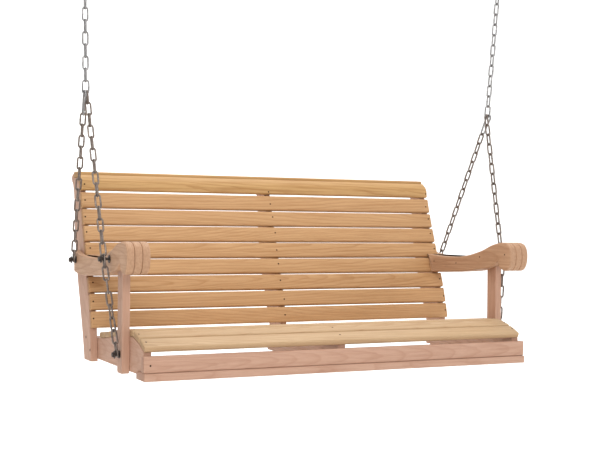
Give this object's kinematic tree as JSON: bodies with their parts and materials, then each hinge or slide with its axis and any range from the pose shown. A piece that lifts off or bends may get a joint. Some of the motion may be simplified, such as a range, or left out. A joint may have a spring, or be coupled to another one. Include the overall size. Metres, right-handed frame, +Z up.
{
  "type": "porch swing",
  "caption": "Slatted wooden porch swing bench with a curved back and scroll arms, hung from the ceiling on two forked steel chains.",
  "frame": {"origin": "on the ceiling plane, midway between the two ceiling hangers", "axes": "+X to the sitter's left, along the bench's length; +Y towards the back of the bench; +Z up"},
  "size_m": [1.478, 0.7467, 1.3113],
  "materials": {
    "slat_wood": "satin",
    "frame_wood": "satin",
    "arm_wood": "satin",
    "bolt_steel": "satin",
    "chain_steel": "satin",
    "bright_steel": "satin"
  },
  "bodies": {
    "ceiling_hangers": {"ceiling_hanger_left": "bright_steel", "ceiling_hanger_right": "bright_steel"},
    "hanging_chains": {"knot_link_left": "chain_steel", "knot_link_right": "chain_steel", "top_link_left": "chain_steel", "top_link_right": "chain_steel", "upper_chain_left": "chain_steel", "upper_chain_right": "chain_steel"},
    "bench": {"apron": "frame_wood", "arm_bolt_left": "bolt_steel", "arm_bolt_right": "bolt_steel", "arm_inner_left": "arm_wood", "arm_inner_right": "arm_wood", "arm_middle_left": "arm_wood", "arm_middle_right": "arm_wood", "arm_outer_left": "arm_wood", "arm_outer_right": "arm_wood", "arm_post_left": "frame_wood", "arm_post_right": "frame_wood", "back_slat_1": "slat_wood", "back_slat_2": "slat_wood", "back_slat_3": "slat_wood", "back_slat_4": "slat_wood", "back_slat_5": "slat_wood", "back_slat_6": "slat_wood", "back_slat_7": "slat_wood", "back_slat_8": "slat_wood", "back_stile_centre": "frame_wood", "back_stile_left": "frame_wood", "back_stile_right": "frame_wood", "cap_slat": "slat_wood", "crest_slat": "slat_wood", "front_chain_left": "chain_steel", "front_chain_right": "chain_steel", "front_strip": "frame_wood", "rear_bolt_left": "bolt_steel", "rear_bolt_right": "bolt_steel", "rear_chain_left": "chain_steel", "rear_chain_right": "chain_steel", "rear_nut_left": "bolt_steel", "rear_nut_right": "bolt_steel", "seat_bolt_left": "bolt_steel", "seat_bolt_right": "bolt_steel", "seat_chain_left": "chain_steel", "seat_chain_right": "chain_steel", "seat_rail_centre": "frame_wood", "seat_rail_left": "frame_wood", "seat_rail_right": "frame_wood", "seat_slat_1": "slat_wood", "seat_slat_2": "slat_wood", "seat_slat_3": "slat_wood", "seat_slat_4": "slat_wood", "seat_slat_5": "slat_wood", "seat_slat_6": "slat_wood", "seat_slat_7": "slat_wood", "seat_slat_8": "slat_wood", "snap_body_left": "bright_steel", "snap_body_right": "bright_steel"},
    "gate_left": {"snap_gate_left": "bright_steel"},
    "gate_right": {"snap_gate_right": "bright_steel"}
  },
  "joints": [
    {"name": "swing", "type": "hinge", "parent": "ceiling_hangers", "child": "hanging_chains", "pos_m": [0, 0, -0.042], "axis": [1, 0, 0], "range_deg": [-25, 25]},
    {"name": "bench_tilt", "type": "hinge", "parent": "hanging_chains", "child": "bench", "pos_m": [0, 0, -0.51796], "axis": [1, 0, 0], "range_deg": [-12, 12]},
    {"name": "gate_left_opens", "type": "hinge", "parent": "bench", "child": "gate_left", "pos_m": [-0.6862, 0.00989, -0.56651], "axis": [-0.9978, 0.0244, -0.0609], "range_deg": [0, 18], "stiffness_Nm_per_rad": 0.06, "springref_deg": -11.46},
    {"name": "gate_right_opens", "type": "hinge", "parent": "bench", "child": "gate_right", "pos_m": [0.6862, 0.00989, -0.56651], "axis": [-0.9978, -0.0244, 0.0609], "range_deg": [0, 18], "stiffness_Nm_per_rad": 0.06, "springref_deg": -11.46}
  ]
}
